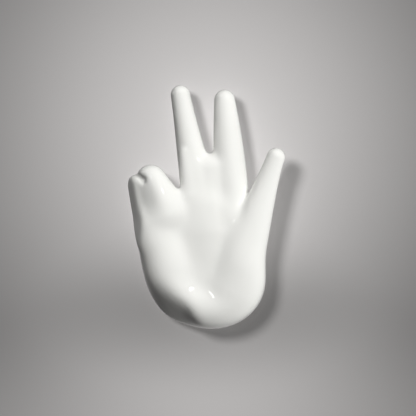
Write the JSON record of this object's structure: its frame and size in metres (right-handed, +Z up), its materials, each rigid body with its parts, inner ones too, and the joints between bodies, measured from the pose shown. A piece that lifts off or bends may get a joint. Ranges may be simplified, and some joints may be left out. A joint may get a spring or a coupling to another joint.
{
  "type": "ceramic hand sculpture",
  "caption": "White glazed ceramic hand for a wall, palm forward with straight index and middle fingers and a spread thumb, hung by a pair of steel Z-clips.",
  "frame": {"origin": "on the wall, midway between the two screw holes of the wall clip", "axes": "+Y into the wall, +Z up towards the fingertips, +X to the viewer's right, so the palm faces -Y"},
  "size_m": [0.1107, 0.0374, 0.1707],
  "materials": {
    "glaze": "glossy white glaze",
    "beech": "sawn and sanded, unfinished",
    "epoxy": "cured, smooth",
    "clip_steel": "zinc plated",
    "screw_steel": "yellow passivated",
    "felt": "pressed felt"
  },
  "bodies": {
    "wall_fixing": {"wall_clip": "clip_steel"},
    "hand": {"hand_shell": "glaze", "hanging_block": "beech", "epoxy_bed": "epoxy", "hand_clip": "clip_steel", "clip_screw_left": "screw_steel", "clip_screw_right": "screw_steel", "felt_pad_upper_left": "felt", "felt_pad_upper_right": "felt", "felt_pad_lower_left": "felt", "felt_pad_lower_right": "felt"}
  },
  "joints": [
    {"name": "hand_lift", "type": "slide", "parent": "wall_fixing", "child": "hand", "axis": [0, 0, 1], "range_m": [0, 0.012]}
  ]
}
